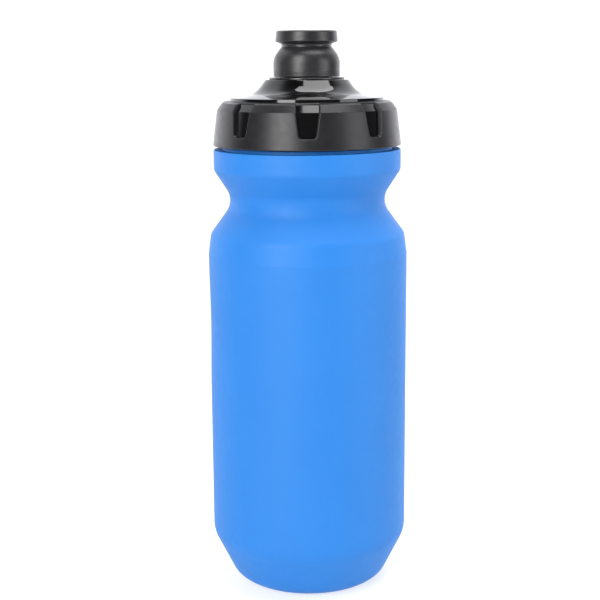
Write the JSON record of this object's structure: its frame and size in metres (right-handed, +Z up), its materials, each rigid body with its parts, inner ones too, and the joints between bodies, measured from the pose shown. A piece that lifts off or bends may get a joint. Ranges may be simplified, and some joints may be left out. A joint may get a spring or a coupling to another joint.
{
  "type": "sports squeeze bottle",
  "caption": "Squeeze bottle with a waisted blown body, a screw cap with a notched grip ring, and a push-pull nozzle over a self-sealing valve.",
  "frame": {"origin": "centre of the foot, on the surface the bottle stands on", "axes": "+Z up the bottle's axis to the nozzle; -Y is the front, where one grip notch faces"},
  "size_m": [0.074, 0.074, 0.207],
  "materials": {
    "body_ldpe": "soft satin, slightly see-through at the edges",
    "gloss_shell": "polished",
    "grip_satin": "satin",
    "gasket_silicone": "smooth",
    "spout_plastic": "moulded",
    "oring_rubber": "smooth",
    "nozzle_plastic": "moulded",
    "nozzle_soft": "matte soft-touch",
    "valve_silicone": "smooth",
    "retainer_plastic": "moulded"
  },
  "bodies": {
    "bottle": {"bottle_body": "body_ldpe"},
    "seal": {"cap_gasket": "gasket_silicone"},
    "cap": {"cap_shell": "gloss_shell", "grip_ring": "grip_satin", "spout_base": "spout_plastic", "slide_oring": "oring_rubber", "flow_valve": "valve_silicone", "valve_retainer": "retainer_plastic"},
    "nozzle": {"nozzle_core": "nozzle_plastic", "nozzle_sleeve": "nozzle_soft"}
  },
  "joints": [
    {"name": "cap_rise", "type": "slide", "parent": "bottle", "child": "seal", "axis": [0, 0, 1], "range_m": [0, 0.0135]},
    {"name": "cap_turn", "type": "hinge", "parent": "seal", "child": "cap", "pos_m": [0, 0, 0.172], "axis": [0, 0, 1], "range_deg": [0, 1080]},
    {"name": "nozzle_pull", "type": "slide", "parent": "cap", "child": "nozzle", "axis": [0, 0, 1], "range_m": [0, 0.005]}
  ],
  "couplings": [
    {"joint": "cap_rise", "follows": "cap_turn", "m_per_rad": 0.00071619}
  ]
}
